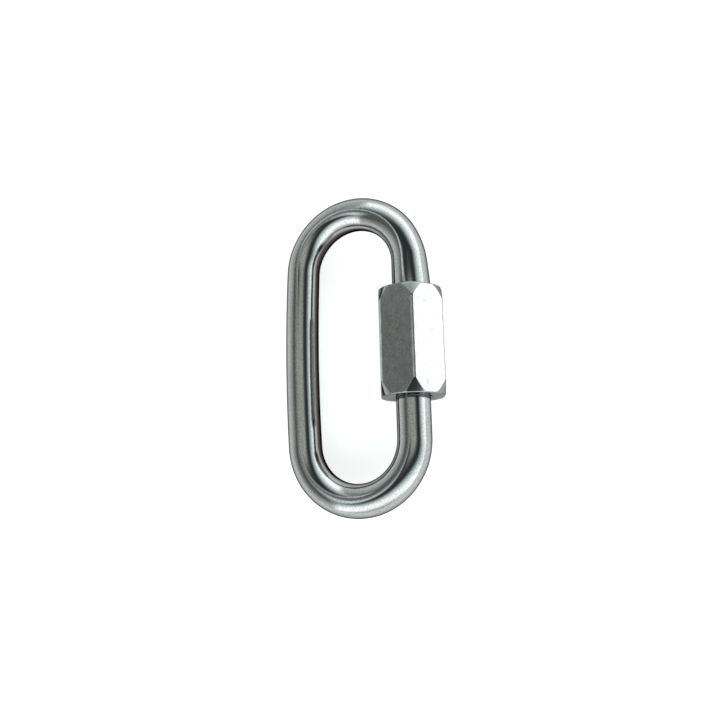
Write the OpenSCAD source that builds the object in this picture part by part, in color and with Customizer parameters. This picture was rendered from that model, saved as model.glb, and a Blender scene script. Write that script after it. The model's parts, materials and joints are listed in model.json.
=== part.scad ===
// Oval quick link: a bent round bar with an opening in one long side, closed by a long hexagonal
// sleeve nut. It lies on its side, long side along Y, nut towards +X, on the bar and the nut's edge.

/* [Bar] */
// Diameter of the round bar
bar_d = 6; // [5.5:0.1:6.4]
// Length of the window inside the oval
inner_len = 46; // [43:0.5:55]
// Width of the window at the ends of the straight sides
inner_w = 14.8; // [13.5:0.1:20]
// How far the long side opposite the nut bows outwards
spine_bow = 0.4; // [0.1:0.1:1.2]

/* [Opening] */
// Clear gap between the two ends of the bar
gap = 6.5; // [5:0.5:7]
// Length of the upper bar end that the closed nut covers
grip = 1.5; // [1:0.5:3]
// Length of the chamfer on each bar end
tip_chamfer = 0.6; // [0.3:0.1:1]

/* [Sleeve nut] */
// Width across the nut's flats
nut_af = 11; // [10:0.5:13]
// Length of the nut
nut_len = 19; // [15:0.5:20]
// Distance of the closed nut's middle above the middle of the oval
nut_centre = 0.7; // [0.5:0.1:3]
// Turn of the hexagon away from lying flat, in degrees
nut_turn = -15.4; // [-20:0.1:20]
// Length of the domed chamfer over the hexagon's corners
corner_chamfer = 2.4; // [1.2:0.1:3]
// Length of the domed chamfer in the middle of a flat
flat_chamfer = 0.15; // [0.05:0.05:0.4]
// How much the sharp corners are turned down
corner_break = 0.1; // [0.05:0.01:0.3]

/* [Bore] */
// Gap all round between the bar and the bore
running_gap = 0.05; // [0.02:0.01:0.1]
// Depth of the countersink in each end of the bore
mouth_depth = 0.55; // [0.3:0.05:1]

/* [Hidden] */
$fn = 96;
HEX_SIDES = 6;
HEX_HALF = 180 / HEX_SIDES;
OVERRUN = 1;

// The bends are a hair thicker than the straight bar, which ends inside them
BEND_SWELL = 0.02;
EMBED = 0.3;

// The centre line of the oval: two ends of bend_r, a straight side at x = bend_r with the
// opening, and a spine that is one wide arc, tangent to both ends
bar_r = bar_d / 2;
bend_r = (inner_w + bar_d) / 2;
half_side = (inner_len + bar_d) / 2 - bend_r;
spine_offset = (pow(half_side, 2) - pow(spine_bow, 2)) / (2 * spine_bow);
spine_r = spine_offset + bend_r + spine_bow;
spine_half_angle = atan2(half_side, spine_offset);
spine_sweep = 2 * (spine_half_angle + asin(EMBED / spine_r));

// The closed nut, and the two ends of the bar under it
nut_bottom = nut_centre - nut_len / 2;
nut_top = nut_centre + nut_len / 2;
upper_tip = nut_top - grip;
lower_tip = upper_tip - gap;

// The nut's hexagon, with its corners turned down, and its bore
flat_r = nut_af / 2;
corner_r = flat_r / cos(HEX_HALF) - corner_break;
corner_land = HEX_HALF - acos(flat_r / corner_r);
dome_centre = (pow(corner_r, 2) - pow(flat_r, 2) + pow(corner_chamfer, 2) - pow(flat_chamfer, 2))
    / (2 * (corner_chamfer - flat_chamfer));
dome_r = norm([corner_r, dome_centre - corner_chamfer]);
bore_r = bar_r + running_gap;
mouth_r = bore_r + mouth_depth;

// How it lies: the nut's lowest corner and the spine both touch z = 0, so the oval is tilted
leg_height = nut_reach(0);
lie_tilt = asin((leg_height - bar_r) / (2 * bend_r + spine_bow));
leftmost = -(bend_r + spine_bow) * cos(lie_tilt) - bar_r;
rightmost = bend_r * cos(lie_tilt) + nut_reach(90);
centre_shift = -(leftmost + rightmost) / 2;
centre_height = leg_height - bend_r * sin(lie_tilt);

// Distance from the nut's axis to its outermost point in a direction, in degrees from straight down
function nut_reach(direction) =
    let (
        off_flat = abs(direction - nut_turn - 2 * HEX_HALF * round((direction - nut_turn) / (2 * HEX_HALF))),
        off_corner = HEX_HALF - off_flat
    )
    corner_r * cos(max(0, off_corner - corner_land));

// Carries what is drawn in the plane of the oval to the way it lies
module lying() {
    translate([centre_shift, 0, centre_height])
        rotate([0, -lie_tilt, 0])
            children();
}

// A stretch of bar of diameter d bent about the origin, from start, in degrees from +X, through sweep
module bent_bar(d, radius, start, sweep) {
    rotate([0, 0, start])
        rotate_extrude(angle = sweep)
            translate([radius, 0])
                circle(d = d);
}

// An end of the bar on the nut's axis, from inside the bend at y = root to a chamfered tip at y = tip
module bar_end(root, tip) {
    towards = sign(tip - root);
    run = abs(tip - root) + EMBED - tip_chamfer;
    translate([bend_r, root - towards * EMBED, 0])
        rotate([-90 * towards, 0, 0]) {
            cylinder(d = bar_d, h = run);
            translate([0, 0, run])
                cylinder(r1 = bar_r, r2 = bar_r - tip_chamfer, h = tip_chamfer);
        }
}

// The bend on the +Y side, from the nut's side round to the spine
module oval_end() {
    translate([0, half_side, 0])
        bent_bar(bar_d + BEND_SWELL, bend_r, 0, 180 - spine_half_angle);
}

// The long side opposite the nut
module spine() {
    translate([spine_offset, 0, 0])
        bent_bar(bar_d, spine_r, 180 - spine_sweep / 2, spine_sweep);
}

module link_body() {
    color([0.62, 0.64, 0.65])
        lying() {
            oval_end();
            mirror([0, 1, 0])
                oval_end();
            spine();
            bar_end(half_side, upper_tip);
            bar_end(-half_side, lower_tip);
        }
}

// What the turned end at z = 0 leaves of the nut: a dome, and all that is beyond the dome's middle
module domed_end() {
    translate([0, 0, dome_centre]) {
        sphere(r = dome_r);
        cylinder(r = 2 * corner_r, h = nut_len);
    }
}

// The solid hexagon with turned corners and domed ends
module nut_blank() {
    intersection() {
        rotate([0, 0, nut_turn])
            cylinder(r = flat_r / cos(HEX_HALF), h = nut_len, $fn = HEX_SIDES);
        cylinder(r = corner_r, h = nut_len);
        domed_end();
        translate([0, 0, nut_len])
            mirror([0, 0, 1])
                domed_end();
    }
}

// The bore with a countersink at each end
module bore() {
    translate([0, 0, -OVERRUN])
        cylinder(r = bore_r, h = nut_len + 2 * OVERRUN);
    cylinder(r1 = mouth_r, r2 = bore_r, h = mouth_depth);
    translate([0, 0, nut_len - mouth_depth])
        cylinder(r1 = bore_r, r2 = mouth_r, h = mouth_depth);
}

module sleeve_nut() {
    color([0.74, 0.75, 0.76])
        translate([centre_shift + bend_r * cos(lie_tilt), nut_bottom, leg_height])
            rotate([-90, 0, 0])
                difference() {
                    nut_blank();
                    bore();
                }
}

link_body();
sleeve_nut();
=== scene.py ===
"""Oval quick link: a bent, polished bar and the satin sleeve nut that closes it, in a light tent.

All lengths are in metres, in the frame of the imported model. The link lies on the floor, its long
side along Y and the nut towards +X. The bar and the nut are swept meshes with real screw threads.
"""
import json
import math

import bpy
import numpy as np
from mathutils import Matrix, Vector


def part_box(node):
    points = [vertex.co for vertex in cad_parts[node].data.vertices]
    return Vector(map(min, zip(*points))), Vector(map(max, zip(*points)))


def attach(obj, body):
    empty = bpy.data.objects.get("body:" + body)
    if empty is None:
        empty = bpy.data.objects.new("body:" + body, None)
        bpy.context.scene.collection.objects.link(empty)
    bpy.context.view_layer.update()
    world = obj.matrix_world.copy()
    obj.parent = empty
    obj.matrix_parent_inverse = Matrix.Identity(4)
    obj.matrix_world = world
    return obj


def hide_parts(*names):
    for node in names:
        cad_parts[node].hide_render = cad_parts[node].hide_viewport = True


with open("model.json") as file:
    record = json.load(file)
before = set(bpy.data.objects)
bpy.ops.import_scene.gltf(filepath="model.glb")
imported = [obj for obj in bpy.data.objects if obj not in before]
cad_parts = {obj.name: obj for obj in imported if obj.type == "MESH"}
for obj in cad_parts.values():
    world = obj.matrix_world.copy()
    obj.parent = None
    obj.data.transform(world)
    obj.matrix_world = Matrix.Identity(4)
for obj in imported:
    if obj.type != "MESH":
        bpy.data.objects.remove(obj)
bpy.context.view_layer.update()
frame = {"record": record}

MM = 0.001
TURN = 2 * math.pi

# The oval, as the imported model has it: its centre, the direction from there to the nut's axis, and
# the radii of the bar and of the line that the bar's middle follows
MOUNTS = {mount["name"]: mount for mount in frame["record"]["mounts"]}
BAR_LOW, BAR_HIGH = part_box("link_body")
NUT_LOW, NUT_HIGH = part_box("sleeve_nut")
TOP_BEARING = Vector(MOUNTS["top_bend"]["pos_m"])
OUTER_FLAT = Vector(MOUNTS["spanner_flat_outer"]["pos_m"])
INNER_FLAT = Vector(MOUNTS["spanner_flat_inner"]["pos_m"])
NUT_MIDDLE = (OUTER_FLAT + INNER_FLAT) / 2
OVAL_CENTRE = Vector((TOP_BEARING.x, 0, TOP_BEARING.z))
ACROSS = Vector((NUT_MIDDLE.x, 0, NUT_MIDDLE.z)) - OVAL_CENTRE
TILT = math.atan2(ACROSS.z, ACROSS.x)
TOWARDS_NUT = ACROSS.normalized()
OFF_PLANE = Vector((-TOWARDS_NUT.z, 0, TOWARDS_NUT.x))
BAR_R = round((BAR_HIGH.y - TOP_BEARING.y) / 2, 4)
BEND_R = ACROSS.length
HALF_SIDE = TOP_BEARING.y + BAR_R - BEND_R

# The long side opposite the nut is one wide arc, tangent to both bends
SPINE_BOW = (OVAL_CENTRE.x - BAR_R - BAR_LOW.x) / math.cos(TILT) - BEND_R
SPINE_OFFSET = (HALF_SIDE ** 2 - SPINE_BOW ** 2) / (2 * SPINE_BOW)
SPINE_R = SPINE_OFFSET + BEND_R + SPINE_BOW
SPINE_HALF_ANGLE = math.atan2(HALF_SIDE, SPINE_OFFSET)

# The two ends of the bar under the nut, and the rings on their flat faces as shares of the radius
GRIP = 1.5 * MM
GAP = 6.5 * MM
UPPER_TIP = NUT_HIGH.y - GRIP
LOWER_TIP = UPPER_TIP - GAP
TIP_CHAMFER = 0.6 * MM
TIP_R = BAR_R - TIP_CHAMFER
TIP_SHARES = (0.35, 0.9, 0.98)

# The rolled thread, which stands proud of the bar so that the nut passes over the plain bar. Its
# crests are flat over a share of the pitch, and its flanks stand 30 degrees off square to the axis
PITCH = 1.0 * MM
CREST_R = 3.5 * MM
ROOT_R = 2.95 * MM
CREST_FLAT = 0.125
FLANK_SLOPE = 1 / math.tan(math.radians(30))
THREAD_PLAY = 0.05 * MM
RUN_OUT = 0.8 * MM
UPPER_THREAD_END = NUT_HIGH.y - 0.1 * MM
LOWER_THREAD_END = NUT_LOW.y + 0.8 * MM

# The shoulder just above the nut, where the bar was gripped while its thread was rolled: it is a
# little thicker on the side away from the window, and has shallow lengthwise die marks
SHOULDER_SWELL = 0.75 * MM
SHOULDER_RISE = 0.6 * MM
SHOULDER_TOP = 20.5 * MM
MARK_DEPTH = 0.03 * MM
MARK_COUNT = 9
MARK_LENGTH = 4.5 * MM

# The nut's hexagon, whose corners are rounded off by CORNER_BREAK, and its bore. A cone takes the
# corners off at each end, from FACE_R outwards, which is just outside the middles of the flats
HEX_SIDES = 6
HEX_HALF = math.pi / HEX_SIDES
FLAT_R = (OUTER_FLAT - INNER_FLAT).length / 2
FLAT_DIRECTION = math.atan2(OUTER_FLAT.z - INNER_FLAT.z, OUTER_FLAT.x - INNER_FLAT.x)
CORNER_BREAK = 0.1 * MM
CORNER_FILLET = CORNER_BREAK / (1 / math.cos(HEX_HALF) - 1)
CORNER_R = FLAT_R / math.cos(HEX_HALF) - CORNER_BREAK
CORNER_CHAMFER = 2.4 * MM
FACE_R = FLAT_R + 0.08 * MM
CONE_SLOPE = CORNER_CHAMFER / (CORNER_R - FACE_R)
BORE_R = BAR_R + THREAD_PLAY
MOUTH_DEPTH = 0.55 * MM
MOUTH_R = BORE_R + MOUTH_DEPTH

# The rounding of the cone's two edges, and the most of the cone's length that each may take
EDGE_ROUND = 0.14 * MM
EDGE_ROUND_SHARE = 0.4

# How finely the meshes are divided
BAR_COLUMNS = 96
RINGS_PER_PITCH = 16
STRAIGHT_STEP = 0.2 * MM
BEND_STEP = 0.35 * MM
FLAT_COLUMNS = 14
CORNER_COLUMNS = 12
WALL_ROWS = 24
CONE_ROWS = 8
ROUND_ROWS = 4
FACE_SHARES = (0, 0.33, 0.66)

# Angles round the bar's section, from the side away from the window
SECTION = np.linspace(0, TURN, BAR_COLUMNS, endpoint=False)

# The bar's steel: the drawn skin from its darkest to its brightest, the grit that covers part of it,
# and painted shade: a dark colour that fades in between two depths on the side towards the window,
# where the surface is also rougher, and stands for dark reflections there. A cell is the size of a
# noise's marks on the unbent bar, a pair runs from the noise's low end to its high end, and the rim
# is the tint of grazing reflections
DRAWN = ((0.40, 0.415, 0.41), (0.55, 0.57, 0.565))
GRIT = (0.26, 0.26, 0.255)
PAINTED_SHADE = (0.080, 0.070, 0.068)
PAINTED_SHADE_DEPTHS = (-0.92 * BAR_R, -0.99 * BAR_R)
STREAK_CELL = (0.30 * MM, 9 * MM, 0.30 * MM)
STREAK_SHARE = 0.45
BAR_CLOUD_CELL = (2.4 * MM, 6 * MM, 2.4 * MM)
GRIT_CELL = (0.22 * MM, 0.26 * MM, 0.22 * MM)
GRIT_COVER = (0.85, 0.0)
GRIT_RELIEF = 0.35
BAR_ROUGHNESS = (0.13, 0.07)
PAINTED_SHADE_ROUGHNESS = 0.12
BAR_RELIEF = 0.003 * MM
BAR_RIM = (0.10, 0.088, 0.094)

# The nut's plating: mottled satin on its drawn flats, and the turned ends with their fine rings
SATIN = ((0.26, 0.26, 0.255), (0.72, 0.73, 0.73))
TURNED = ((0.20, 0.20, 0.195), (0.32, 0.33, 0.335))
GRAIN_CELL = (0.22 * MM, 0.40 * MM, 0.22 * MM)
GRAIN_SHARE = 0.5
NUT_CLOUD_CELL = (1.1 * MM, 1.6 * MM, 1.1 * MM)
LATHE_CELL = (0.06 * MM, 0.06 * MM, 1)
LATHE_RELIEF = 0.25
GRAIN_WHERE_TURNED = 0.1
SATIN_ROUGHNESS = (0.21, 0.15)
TURNED_ROUGHNESS = 0.08
NUT_RELIEF = 0.005 * MM
NUT_RIM = (0.4, 0.4, 0.4)

# The floor, a hair below the link, and the brightness that it adds for the camera and mirrors
FLOOR_HALF = 3.0
FLOOR_DROP = 0.01 * MM
FLOOR_COLOUR = (0.88, 0.88, 0.88)
FLOOR_LIFT = 0.58

# The light tent, by the direction that light comes from. Round its axis, which leans from straight
# up with a heading from +X towards +Y, lie a dim crown, a dark collar and then the bright walls.
# JUST_OVER_ONE keeps the sine of the angle from the axis above zero on the axis itself
TENT_LEAN = math.radians(9)
TENT_HEADING = math.radians(56)
JUST_OVER_ONE = 1.0001

# All of these are oval, longer along X: the angle from the axis counts shorter there, by the first
# share where Y is below the first value, and by the second share where it is above the second
OVAL_SHARES = (0.42, 0.23)
OVAL_SPAN = (-0.3, 0.1)

# Towards -X the collar is narrower: there, outside the crown, the walls begin nearer to the axis.
# This fades in over cosines of the turn round the axis from +X, and over angles from the axis
NOTCH_SHIFT = math.radians(15)
NOTCH_TURNS = (-0.84, -0.94)
NOTCH_ANGLES = (math.radians(14), math.radians(24))

# The tent is open to a dim room on the -X side, past an edge that fades out between two values of
# X and slants on the -Y side, and on the +Y side beyond FAR_START
OPENING = (-0.67, -0.54)
NEAR_SLANT = 0.12
FAR_SLANT = 0.75
FAR_START = 0.4

# A wedge of the tent shows the room too, from the axis down. Its middle is turned round the axis
# from +X towards +Y, and it fades in over cosines of the turn from its middle, 18 to 9 degrees
WEDGE_HEADING = math.radians(172)
WEDGE_TURNS = (0.951, 0.988)

# The skirt: where Z falls from the first value to the second, the light becomes at least white, so
# that no dim strip shows at the horizon
SKIRT = (0.32, 0.20)

# Light by degrees from the axis, each with its level and tint, in the tent and in the room
GREY = (1.00, 1.00, 0.95)
CYAN = (0.87, 1.00, 1.00)
WHITE = (0.98, 1.00, 0.99)
OLIVE = (0.94, 1.00, 0.95)
CROWN_LIGHT = [(0, 0.62, GREY), (6, 0.74, GREY), (11, 0.52, GREY), (16, 0.18, GREY)]
COLLAR_LIGHT = [(21, 0.07, CYAN), (28, 0.05, CYAN), (32, 0.26, CYAN), (38, 0.88, CYAN)]
WALL_LIGHT = [(44, 1.45, CYAN), (50, 1.95, CYAN), (57, 2.45, WHITE), (70, 2.55, WHITE), (80, 1.70, WHITE),
              (88, 0.90, GREY), (96, 0.40, GREY)]
TENT_LIGHT = CROWN_LIGHT + COLLAR_LIGHT + WALL_LIGHT
ROOM_LEVELS = {0: 0.62, 8: 0.68, 14: 0.74, 25: 0.48, 33: 0.22, 40: 0.21, 49: 0.56, 56: 0.78, 63: 0.88,
               72: 0.60, 96: 0.42}
ROOM_LIGHT = [(degrees, level, OLIVE) for degrees, level in ROOM_LEVELS.items()]

# The camera: in the photograph the link stands upright, so here the camera looks down on it. The
# sensor and the lens are in millimetres
CAMERA_PLACE = Vector((36.85, -31.16, 146.22)) * MM
CAMERA_AIM = Vector((-1.95, -0.26, 0)) * MM
CAMERA_ROLL = math.radians(-1.435)
SENSOR = 36.0
LENS = 42.09


def add_node(tree, kind, inputs=(), **settings):
    """A new shader node with its settings, and its inputs set to values or linked to sockets."""
    made = tree.nodes.new(kind)
    for name, value in settings.items():
        setattr(made, name, value)
    for key, value in dict(inputs).items():
        if isinstance(value, bpy.types.NodeSocket):
            tree.links.new(value, made.inputs[key])
        else:
            made.inputs[key].default_value = value
    return made


def math_node(tree, operation, *values):
    """The output of a Math node over values or sockets."""
    return add_node(tree, "ShaderNodeMath", dict(enumerate(values)), operation=operation).outputs[0]


def vector_node(tree, operation, *values):
    """The outputs of a Vector Math node over values or sockets."""
    return add_node(tree, "ShaderNodeVectorMath", dict(enumerate(values)), operation=operation).outputs


def noise(tree, place, cell, detail, roughness):
    """Noise between 0 and 1, with cells of the given lengths in metres along the three axes."""
    scaled = add_node(tree, "ShaderNodeMapping", {"Vector": place, "Scale": [1 / side for side in cell]})
    made = add_node(tree, "ShaderNodeTexNoise", {
        "Vector": scaled.outputs[0], "Scale": 1.0, "Detail": detail, "Roughness": roughness})
    return made.outputs["Fac"]


def sum_of(tree, fine, coarse, fine_share):
    """Two noises added to one, the fine one with the given share."""
    return math_node(tree, "MULTIPLY_ADD", fine, fine_share,
                     math_node(tree, "MULTIPLY", coarse, 1 - fine_share))


def blend(tree, factor, low, high):
    """A colour between two colours, given as (red, green, blue) or sockets."""
    made = add_node(tree, "ShaderNodeMix", {"Factor": factor}, data_type="RGBA")
    for socket, end in zip((made.inputs[6], made.inputs[7]), (low, high)):
        if isinstance(end, bpy.types.NodeSocket):
            tree.links.new(end, socket)
        else:
            socket.default_value = (*end, 1)
    return made.outputs[2]


def stretch(tree, value, low, high):
    """Carries noise, which mostly lies between 0.25 and 0.75, to between two values."""
    return add_node(tree, "ShaderNodeMapRange", {
        "Value": value, "From Min": 0.25, "From Max": 0.75, "To Min": low, "To Max": high}).outputs[0]


def soft_step(tree, value, low, high):
    """Goes softly from 0 to 1 as a value goes from low to high."""
    return add_node(tree, "ShaderNodeMapRange", {"Value": value, "From Min": low, "From Max": high},
                    interpolation_type="SMOOTHSTEP").outputs[0]


def new_material(name):
    """A material with empty nodes, its tree, and the tree's output node."""
    material = bpy.data.materials.new(name)
    material.use_nodes = True
    tree = material.node_tree
    tree.nodes.clear()
    return material, tree, tree.nodes.new("ShaderNodeOutputMaterial")


def smooth(t):
    """Goes softly from 0 to 1 as t does."""
    t = np.clip(t, 0, 1)
    return t * t * (3 - 2 * t)


def thread_flank(y, direction):
    """Radius of the right-hand thread's crests and flanks, without its flat roots."""
    turns = (y - UPPER_TIP) / PITCH + direction / TURN
    from_crest = np.abs(turns - np.round(turns))
    return CREST_R - FLANK_SLOPE * PITCH * np.maximum(from_crest - CREST_FLAT / 2, 0)


def threaded_end(y, tip, thread_end):
    """Radii of a bar end: a thread that runs out into the plain bar, and a chamfer at the tip."""
    full = np.maximum(thread_flank(y, SECTION + TILT), ROOT_R)
    fade = np.clip((thread_end - y) * np.sign(thread_end - tip) / RUN_OUT, 0, 1)
    return np.minimum(BAR_R + fade * (full - BAR_R), TIP_R + np.abs(y - tip))


def upper_end(y):
    """Radii of the bar end that the nut is turned back from."""
    return threaded_end(y, UPPER_TIP, UPPER_THREAD_END)


def lower_end(y):
    """Radii of the bar end that the nut runs along."""
    return threaded_end(y, LOWER_TIP, LOWER_THREAD_END)


def plain(y):
    """Radii of the plain bar."""
    return np.full(BAR_COLUMNS, BAR_R)


def shoulder(y):
    """Radii of the bar just above the nut, with its swell and its die marks."""
    rise = smooth((y - UPPER_THREAD_END) / SHOULDER_RISE)
    swell = SHOULDER_SWELL * rise * (1 - smooth((y - NUT_HIGH.y) / (SHOULDER_TOP - NUT_HIGH.y)))
    marks = MARK_DEPTH * rise * (1 - smooth((y - NUT_HIGH.y) / MARK_LENGTH))
    return BAR_R + swell * (1 + np.cos(SECTION)) / 2 - marks * (1 + np.cos(MARK_COUNT * SECTION)) / 2


def leg_rings(start, end, step, radii_at):
    """Rings of the bar along the nut's side: place and heading in the oval's plane, and radii."""
    count = max(2, round(abs(end - start) / step) + 1)
    return [((BEND_R, y), (0, 1), radii_at(y)) for y in np.linspace(start, end, count)]


def arc_rings(centre, radius, start, end, radii_at=plain):
    """Rings of the bar along an arc that is walked anticlockwise in the oval's plane."""
    count = round(radius * (end - start) / BEND_STEP) + 1
    rings = []
    for a in np.linspace(start, end, count):
        place = (centre[0] + radius * math.cos(a), centre[1] + radius * math.sin(a))
        rings.append((place, (-math.sin(a), math.cos(a)), radii_at(place[1])))
    return rings


def tip_rings(ring, shares):
    """Rings on the flat face of a bar end."""
    place, heading, radii = ring
    return [(place, heading, share * radii) for share in shares]


def bar_rings():
    """Every ring of the bar, from the upper tip round the oval to the lower tip."""
    fine = PITCH / RINGS_PER_PITCH
    left = TURN / 2
    rings = leg_rings(UPPER_TIP, UPPER_THREAD_END, fine, upper_end)
    rings += leg_rings(UPPER_THREAD_END, HALF_SIDE, STRAIGHT_STEP, shoulder)[1:]
    rings += arc_rings((0, HALF_SIDE), BEND_R, 0, left / 2, shoulder)[1:]
    rings += arc_rings((0, HALF_SIDE), BEND_R, left / 2, left - SPINE_HALF_ANGLE)[1:]
    rings += arc_rings((SPINE_OFFSET, 0), SPINE_R, left - SPINE_HALF_ANGLE, left + SPINE_HALF_ANGLE)[1:]
    rings += arc_rings((0, -HALF_SIDE), BEND_R, left + SPINE_HALF_ANGLE, TURN)[1:]
    rings += leg_rings(-HALF_SIDE, LOWER_THREAD_END, STRAIGHT_STEP, plain)[1:]
    rings += leg_rings(LOWER_THREAD_END, LOWER_TIP, fine, lower_end)[1:]
    return tip_rings(rings[0], TIP_SHARES) + rings + tip_rings(rings[-1], reversed(TIP_SHARES))


def to_lying(points):
    """Carries an array of points in the oval's own axes to where the link lies."""
    axes = np.array([TOWARDS_NUT, (0, 1, 0), OFF_PLANE])
    return points @ axes + np.array(OVAL_CENTRE)


def bar_grid():
    """The bar's surface as rings of points, and the same points on the bar as it was before it was
    bent, which its drawn grain follows."""
    grid, unbent = [], []
    walked = 0.0
    before = None
    for place, heading, radii in bar_rings():
        walked += math.dist(before or place, place)
        before = place
        outward = np.array([heading[1], -heading[0], 0])
        side, rise = radii * np.cos(SECTION), radii * np.sin(SECTION)
        grid.append(np.array([*place, 0]) + side[:, None] * outward + rise[:, None] * np.array([0, 0, 1]))
        unbent.append(np.stack([side, np.full(BAR_COLUMNS, walked), rise], 1))
    return to_lying(np.array(grid)), np.array(unbent)


def nut_outline():
    """Points round the hexagon with its rounded corners, as directions and distances from the axis."""
    across, up = [], []
    half_flat = (FLAT_R - CORNER_FILLET) * math.tan(HEX_HALF)
    corner_centre = (FLAT_R - CORNER_FILLET) / math.cos(HEX_HALF)
    for side in range(HEX_SIDES):
        facing = FLAT_DIRECTION + 2 * HEX_HALF * side
        for along in np.linspace(-half_flat, half_flat, FLAT_COLUMNS + 1):
            across.append(FLAT_R * math.cos(facing) - along * math.sin(facing))
            up.append(FLAT_R * math.sin(facing) + along * math.cos(facing))
        corner = facing + HEX_HALF
        for a in np.linspace(facing, facing + 2 * HEX_HALF, CORNER_COLUMNS + 1)[1:-1]:
            across.append(corner_centre * math.cos(corner) + CORNER_FILLET * math.cos(a))
            up.append(corner_centre * math.sin(corner) + CORNER_FILLET * math.sin(a))
    across, up = np.array(across), np.array(up)
    return np.arctan2(up, across), np.hypot(across, up)


def rounded(corner, before, after, size):
    """A corner of the profile rounded off: rows of (radius, depth) from one side to the other. The
    unit vectors before and after point from the corner back and onwards along the profile."""
    rows = []
    for t in np.linspace(0, 1, ROUND_ROWS + 1):
        rows.append(corner + size * ((1 - t) ** 2 * before + t ** 2 * after))
    return rows


def end_rows(wall):
    """Rows of (radius, depth below the end) from the countersink's edge over the end face and the
    cone on to the wall, for each distance of the wall from the axis."""
    zeros, ones = np.zeros_like(wall), np.ones_like(wall)
    inwards, downwards = np.array([-ones, zeros]), np.array([zeros, ones])
    face_edge = np.array([np.minimum(FACE_R, wall - EDGE_ROUND), zeros])
    wall_edge = np.array([wall, np.maximum((wall - FACE_R) * CONE_SLOPE, EDGE_ROUND)])
    cone_length = np.hypot(*(wall_edge - face_edge))
    down_cone = (wall_edge - face_edge) / cone_length
    size = np.minimum(EDGE_ROUND, EDGE_ROUND_SHARE * cone_length)
    first, last = face_edge + size * down_cone, wall_edge - size * down_cone
    rows = [np.array([MOUTH_R + (face_edge[0] - MOUTH_R) * share, zeros]) for share in FACE_SHARES]
    rows += rounded(face_edge, inwards, down_cone, size)
    rows += [first + (last - first) * t for t in np.linspace(0, 1, CONE_ROWS + 2)[1:-1]]
    rows += rounded(wall_edge, -down_cone, downwards, size)
    return rows


def bore_rows(direction):
    """Rows of (radius, y) down the threaded bore, which opens into a countersink at each end."""
    count = round((NUT_HIGH.y - NUT_LOW.y) / PITCH * RINGS_PER_PITCH)
    rows = []
    for y in np.linspace(NUT_HIGH.y, NUT_LOW.y, count + 1)[1:-1]:
        groove = np.maximum(thread_flank(y, direction) + THREAD_PLAY, BORE_R)
        countersink = MOUTH_R - min(NUT_HIGH.y - y, y - NUT_LOW.y)
        rows.append((np.maximum(groove, countersink), y))
    return rows


def nut_grid():
    """The nut's surface as closed rows round the axis: end, wall, end, and back down the thread;
    and for each row whether it was turned in a lathe."""
    direction, wall = nut_outline()
    ends = end_rows(wall)
    lowest, highest = NUT_LOW.y + ends[-1][1], NUT_HIGH.y - ends[-1][1]
    rows = [(radius, NUT_LOW.y + depth) for radius, depth in ends]
    rows += [(wall, lowest + (highest - lowest) * t) for t in np.linspace(0, 1, WALL_ROWS + 1)[1:-1]]
    rows += [(radius, NUT_HIGH.y - depth) for radius, depth in reversed(ends)]
    drawn = slice(len(ends) - 1, len(rows) - len(ends) + 1)
    rows += bore_rows(direction)
    turned = np.ones(len(rows))
    turned[drawn] = 0
    grid = [np.stack([NUT_MIDDLE.x + radius * np.cos(direction), y + 0 * radius,
                      NUT_MIDDLE.z + radius * np.sin(direction)], 1) for radius, y in rows]
    return np.array(grid), turned


def grid_normals(grid, closed):
    """Normals of a grid of points whose columns close, from the points on either side."""
    around = np.roll(grid, -1, 1) - np.roll(grid, 1, 1)
    along = np.roll(grid, -1, 0) - np.roll(grid, 1, 0) if closed else np.gradient(grid, axis=0)
    normals = np.cross(along, around)
    return normals / np.linalg.norm(normals, axis=2, keepdims=True)


def grid_faces(rows, columns, closed):
    """Quads of a grid whose columns close, and whose rows close too if closed."""
    last = rows if closed else rows - 1
    faces = []
    for i in range(last):
        a, b = i * columns, (i + 1) % rows * columns
        for j in range(columns):
            k = (j + 1) % columns
            faces.append((a + j, b + j, b + k, a + k))
    return faces


def close_end(grid, row, sense, points, normals, faces):
    """Closes an end of an open grid with a fan round its middle. The sense is 1 at the first row,
    and -1 at the last, where the triangles run the other way round."""
    columns = grid.shape[1]
    middle = grid[row].mean(0)
    facing = np.cross(grid[row, 0] - middle, grid[row, 1] - middle)
    for j in range(columns):
        pair = (row * columns + j, row * columns + (j + 1) % columns)
        faces.append((len(points), *pair[::sense]))
    points.append(middle.tolist())
    normals.append((facing / np.linalg.norm(facing) * sense).tolist())


def mesh_piece(name, grid, closed):
    """An object with smooth, exactly shaded quads over a grid. An open grid gets a fan on each end."""
    rows, columns = grid.shape[:2]
    points = grid.reshape(-1, 3).tolist()
    normals = grid_normals(grid, closed).reshape(-1, 3).tolist()
    faces = grid_faces(rows, columns, closed)
    if not closed:
        close_end(grid, 0, 1, points, normals, faces)
        close_end(grid, rows - 1, -1, points, normals, faces)
    mesh = bpy.data.meshes.new(name)
    mesh.from_pydata(points, [], faces)
    mesh.shade_smooth()
    mesh.normals_split_custom_set_from_vertices(normals)
    mesh.update()
    piece = bpy.data.objects.new(name, mesh)
    bpy.context.scene.collection.objects.link(piece)
    return piece


def store_unbent(piece, unbent):
    """Keeps the straight bar's coordinates on the mesh, for the drawn grain."""
    values = np.zeros((len(piece.data.vertices), 3), np.float32)
    flat = unbent.reshape(-1, 3)
    values[:len(flat)] = flat
    values[len(flat):] = (0, flat[0, 1], 0)
    attribute = piece.data.attributes.new("unbent", "FLOAT_VECTOR", "POINT")
    attribute.data.foreach_set("vector", values.ravel())


def store_turned(piece, turned):
    """Keeps on the mesh which rows of the nut were turned in a lathe."""
    columns = len(piece.data.vertices) // len(turned)
    attribute = piece.data.attributes.new("turned", "FLOAT", "POINT")
    attribute.data.foreach_set("value", np.repeat(turned, columns).astype(np.float32))


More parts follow.
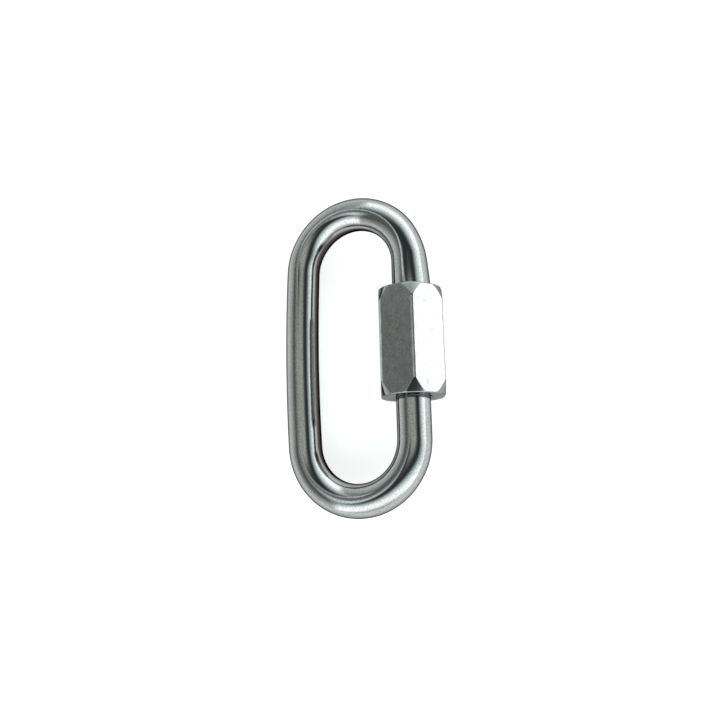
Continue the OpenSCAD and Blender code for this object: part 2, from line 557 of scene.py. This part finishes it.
def bare_metal(tree, output, colour, roughness, relief, depth, rim):
    """Finishes a material as bare metal, with a fine relief and a tint of its grazing reflections."""
    bump = add_node(tree, "ShaderNodeBump", {"Height": relief, "Strength": 1.0, "Distance": depth})
    metal = add_node(tree, "ShaderNodeBsdfPrincipled", {
        "Base Color": colour, "Metallic": 1.0, "Roughness": roughness,
        "Specular Tint": (*rim, 1), "Normal": bump.outputs[0]})
    tree.links.new(metal.outputs[0], output.inputs["Surface"])


def steel_bar_material():
    """Polished drawn steel: clear reflections, with a gritty grain and faint streaks along the bar, and
    painted shade on its side towards the window.
    """
    material, tree, output = new_material("polished_bar")
    place = add_node(tree, "ShaderNodeAttribute", attribute_name="unbent").outputs["Vector"]
    streaks = noise(tree, place, STREAK_CELL, detail=3.0, roughness=0.6)
    clouds = noise(tree, place, BAR_CLOUD_CELL, detail=3.0, roughness=0.5)
    grit = noise(tree, place, GRIT_CELL, detail=2.0, roughness=0.6)
    tone = stretch(tree, sum_of(tree, streaks, clouds, STREAK_SHARE), 0.0, 1.0)
    gritty = blend(tree, stretch(tree, grit, *GRIT_COVER), blend(tree, tone, *DRAWN), GRIT)
    # Painted shade: the side towards the window is darkened and made rougher, standing for dark reflections
    side = add_node(tree, "ShaderNodeSeparateXYZ", {"Vector": place}).outputs["X"]
    painted_shade_mask = soft_step(tree, side, *PAINTED_SHADE_DEPTHS)
    colour = blend(tree, painted_shade_mask, gritty, PAINTED_SHADE)
    roughness = math_node(tree, "MULTIPLY_ADD", painted_shade_mask, PAINTED_SHADE_ROUGHNESS, stretch(tree, grit, *BAR_ROUGHNESS))
    relief = math_node(tree, "MULTIPLY_ADD", grit, GRIT_RELIEF, streaks)
    bare_metal(tree, output, colour, roughness, relief, BAR_RELIEF, BAR_RIM)
    return material


def lathe_rings(tree, place):
    """Noise in rings round the nut's axis."""
    from_axis = vector_node(tree, "SUBTRACT", place, NUT_MIDDLE)["Vector"]
    square_to_axis = vector_node(tree, "MULTIPLY", from_axis, (1, 0, 1))["Vector"]
    radius = vector_node(tree, "LENGTH", square_to_axis)["Value"]
    along = add_node(tree, "ShaderNodeSeparateXYZ", {"Vector": place}).outputs["Y"]
    profile = add_node(tree, "ShaderNodeCombineXYZ", {"X": radius, "Y": along}).outputs[0]
    return noise(tree, profile, LATHE_CELL, detail=2.0, roughness=0.5)


def satin_nut_material():
    """Plated steel: mottled satin on the drawn flats, smoother with fine rings where it was turned."""
    material, tree, output = new_material("satin_nut")
    place = add_node(tree, "ShaderNodeTexCoord").outputs["Object"]
    turned = add_node(tree, "ShaderNodeAttribute", attribute_name="turned").outputs["Fac"]
    grain = noise(tree, place, GRAIN_CELL, detail=3.0, roughness=0.65)
    clouds = noise(tree, place, NUT_CLOUD_CELL, detail=4.0, roughness=0.6)
    mottle = sum_of(tree, grain, clouds, GRAIN_SHARE)
    tone = stretch(tree, mottle, 0.0, 1.0)
    colour = blend(tree, turned, blend(tree, tone, *SATIN), blend(tree, tone, *TURNED))
    satin_roughness = stretch(tree, mottle, *SATIN_ROUGHNESS)
    smoother = math_node(tree, "SUBTRACT", TURNED_ROUGHNESS, satin_roughness)
    roughness = math_node(tree, "MULTIPLY_ADD", turned, smoother, satin_roughness)
    grain_left = math_node(tree, "MULTIPLY_ADD", turned, GRAIN_WHERE_TURNED - 1, 1.0)
    grain_relief = math_node(tree, "MULTIPLY", grain, grain_left)
    ring_relief = math_node(tree, "MULTIPLY", turned, LATHE_RELIEF)
    relief = math_node(tree, "MULTIPLY_ADD", ring_relief, lathe_rings(tree, place), grain_relief)
    bare_metal(tree, output, colour, roughness, relief, NUT_RELIEF, NUT_RIM)
    return material


def link_body():
    """The bent bar, which stands for the CAD bar."""
    grid, unbent = bar_grid()
    piece = mesh_piece("bent_bar", grid, closed=False)
    store_unbent(piece, unbent)
    piece.data.materials.append(steel_bar_material())
    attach(piece, "bar")
    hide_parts("link_body")


def sleeve_nut():
    """The nut, which stands for the CAD nut."""
    grid, turned = nut_grid()
    piece = mesh_piece("hex_sleeve_nut", grid, closed=True)
    store_turned(piece, turned)
    piece.data.materials.append(satin_nut_material())
    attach(piece, "nut")
    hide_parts("sleeve_nut")


def pale_material():
    """A matt, pale colour that the camera and mirrors see brighter, so that it shows as white."""
    material, tree, output = new_material("pale_floor")
    matt = add_node(tree, "ShaderNodeBsdfDiffuse", {"Color": (*FLOOR_COLOUR, 1)})
    path = add_node(tree, "ShaderNodeLightPath").outputs
    mirrored = math_node(tree, "MAXIMUM", path["Is Glossy Ray"], path["Is Transmission Ray"])
    seen = math_node(tree, "MAXIMUM", path["Is Camera Ray"], mirrored)
    lift = add_node(tree, "ShaderNodeEmission", {"Strength": math_node(tree, "MULTIPLY", seen, FLOOR_LIFT)})
    both = add_node(tree, "ShaderNodeAddShader", {0: matt.outputs[0], 1: lift.outputs[0]})
    tree.links.new(both.outputs[0], output.inputs["Surface"])
    return material


def pale_floor():
    """A wide pale floor that keeps the link's shadow and shows white behind it."""
    corners = [(-FLOOR_HALF, -FLOOR_HALF, 0), (FLOOR_HALF, -FLOOR_HALF, 0),
               (FLOOR_HALF, FLOOR_HALF, 0), (-FLOOR_HALF, FLOOR_HALF, 0)]
    mesh = bpy.data.meshes.new("floor")
    mesh.from_pydata(corners, [], [(0, 1, 2, 3)])
    mesh.materials.append(pale_material())
    floor = bpy.data.objects.new("floor", mesh)
    floor.location.z = -FLOOR_DROP
    bpy.context.scene.collection.objects.link(floor)


def light_ramp(tree, angle, stops):
    """A colour ramp over an angle, from stops of (degrees, level, tint)."""
    ramp = add_node(tree, "ShaderNodeValToRGB", {"Fac": math_node(tree, "DIVIDE", angle, math.pi)})
    elements = ramp.color_ramp.elements
    elements.remove(elements[1])
    for count, (degrees, level, tint) in enumerate(stops):
        element = elements.new(degrees / 180) if count else elements[0]
        element.position = degrees / 180
        element.color = (*(level * part for part in tint), 1)
    return ramp.outputs["Color"]


def tent_axes():
    """The tent's axis, and two directions square to it: towards +X, and towards the wedge."""
    axis = Vector((math.sin(TENT_LEAN) * math.cos(TENT_HEADING),
                   math.sin(TENT_LEAN) * math.sin(TENT_HEADING), math.cos(TENT_LEAN)))
    side = Vector((0, 1, 0)).cross(axis).normalized()
    to_wedge = side * math.cos(WEDGE_HEADING) + axis.cross(side) * math.sin(WEDGE_HEADING)
    return axis, side, to_wedge


def turn_cosine(tree, direction, along, towards):
    """Cosine of the turn round the tent's axis between a direction, whose part along the axis is
    given, and one that is square to the axis."""
    squared = math_node(tree, "MULTIPLY", along, along)
    off_axis = math_node(tree, "SQRT", math_node(tree, "SUBTRACT", JUST_OVER_ONE, squared))
    reach = vector_node(tree, "DOT_PRODUCT", direction, towards)["Value"]
    return math_node(tree, "DIVIDE", reach, off_axis)


def oval_angle(tree, along, turn, y_part):
    """Angle from the tent's axis, counted shorter along X so that what follows it is an oval."""
    shorter = add_node(tree, "ShaderNodeMapRange", {
        "Value": y_part, "From Min": OVAL_SPAN[0], "From Max": OVAL_SPAN[1],
        "To Min": -OVAL_SHARES[0], "To Max": -OVAL_SHARES[1]}).outputs[0]
    squeeze = math_node(tree, "MULTIPLY_ADD", math_node(tree, "MULTIPLY", turn, turn), shorter, 1.0)
    return math_node(tree, "MULTIPLY", math_node(tree, "ARCCOSINE", along), squeeze)


def notched(tree, angle, turn):
    """The angle as the tent's light counts it, larger in the notch of the collar towards -X."""
    notch = math_node(tree, "MULTIPLY", soft_step(tree, turn, *NOTCH_TURNS),
                      soft_step(tree, angle, *NOTCH_ANGLES))
    return math_node(tree, "MULTIPLY_ADD", notch, NOTCH_SHIFT, angle)


def cloth(tree, parts, wedge_turn):
    """1 where the tent is, and 0 where the room shows through its opening or its wedge."""
    near = math_node(tree, "MAXIMUM", math_node(tree, "MULTIPLY", parts["Y"], -1), 0)
    far = math_node(tree, "MAXIMUM", math_node(tree, "SUBTRACT", parts["Y"], FAR_START), 0)
    edge = math_node(tree, "MULTIPLY_ADD", near, NEAR_SLANT, parts["X"])
    edge = math_node(tree, "MULTIPLY_ADD", far, -FAR_SLANT, edge)
    off_wedge = math_node(tree, "SUBTRACT", 1.0, soft_step(tree, wedge_turn, *WEDGE_TURNS))
    return math_node(tree, "MULTIPLY", soft_step(tree, edge, *OPENING), off_wedge)


def tent_light(tree, direction):
    """The light that comes from a direction."""
    axis, side, to_wedge = tent_axes()
    parts = add_node(tree, "ShaderNodeSeparateXYZ", {"Vector": direction}).outputs
    along = vector_node(tree, "DOT_PRODUCT", direction, axis)["Value"]
    turn = turn_cosine(tree, direction, along, side)
    angle = oval_angle(tree, along, turn, parts["Y"])
    tent = light_ramp(tree, notched(tree, angle, turn), TENT_LIGHT)
    room = light_ramp(tree, angle, ROOM_LIGHT)
    wedge_turn = turn_cosine(tree, direction, along, to_wedge)
    light = blend(tree, cloth(tree, parts, wedge_turn), room, tent)
    skirt = blend(tree, soft_step(tree, parts["Z"], *SKIRT), (0, 0, 0), (1, 1, 1))
    return vector_node(tree, "MAXIMUM", light, skirt)["Vector"]


def light_tent():
    """The world: a light tent that is open to a dim room on one side, with a dark collar overhead."""
    world = bpy.data.worlds.new("light_tent")
    world.use_nodes = True
    bpy.context.scene.world = world
    tree = world.node_tree
    tree.nodes.clear()
    direction = add_node(tree, "ShaderNodeTexCoord").outputs["Generated"]
    light = add_node(tree, "ShaderNodeBackground", {"Color": tent_light(tree, direction), "Strength": 1.0})
    output = tree.nodes.new("ShaderNodeOutputWorld")
    tree.links.new(light.outputs[0], output.inputs["Surface"])


def camera():
    """The camera at the photograph's place over the link."""
    made = bpy.data.objects.new("camera", bpy.data.cameras.new("camera"))
    made.data.sensor_width = SENSOR
    made.data.lens = LENS
    made.data.clip_start = MM
    back = (CAMERA_PLACE - CAMERA_AIM).normalized()
    right = Vector((0, 1, 0)).cross(back).normalized()
    turned = Matrix((right, back.cross(right), back)).transposed() @ Matrix.Rotation(CAMERA_ROLL, 3, "Z")
    made.matrix_world = Matrix.Translation(CAMERA_PLACE) @ turned.to_4x4()
    bpy.context.scene.collection.objects.link(made)
    bpy.context.scene.camera = made


camera()
link_body()
sleeve_nut()
pale_floor()
light_tent()
bpy.context.scene.view_settings.view_transform = "Standard"
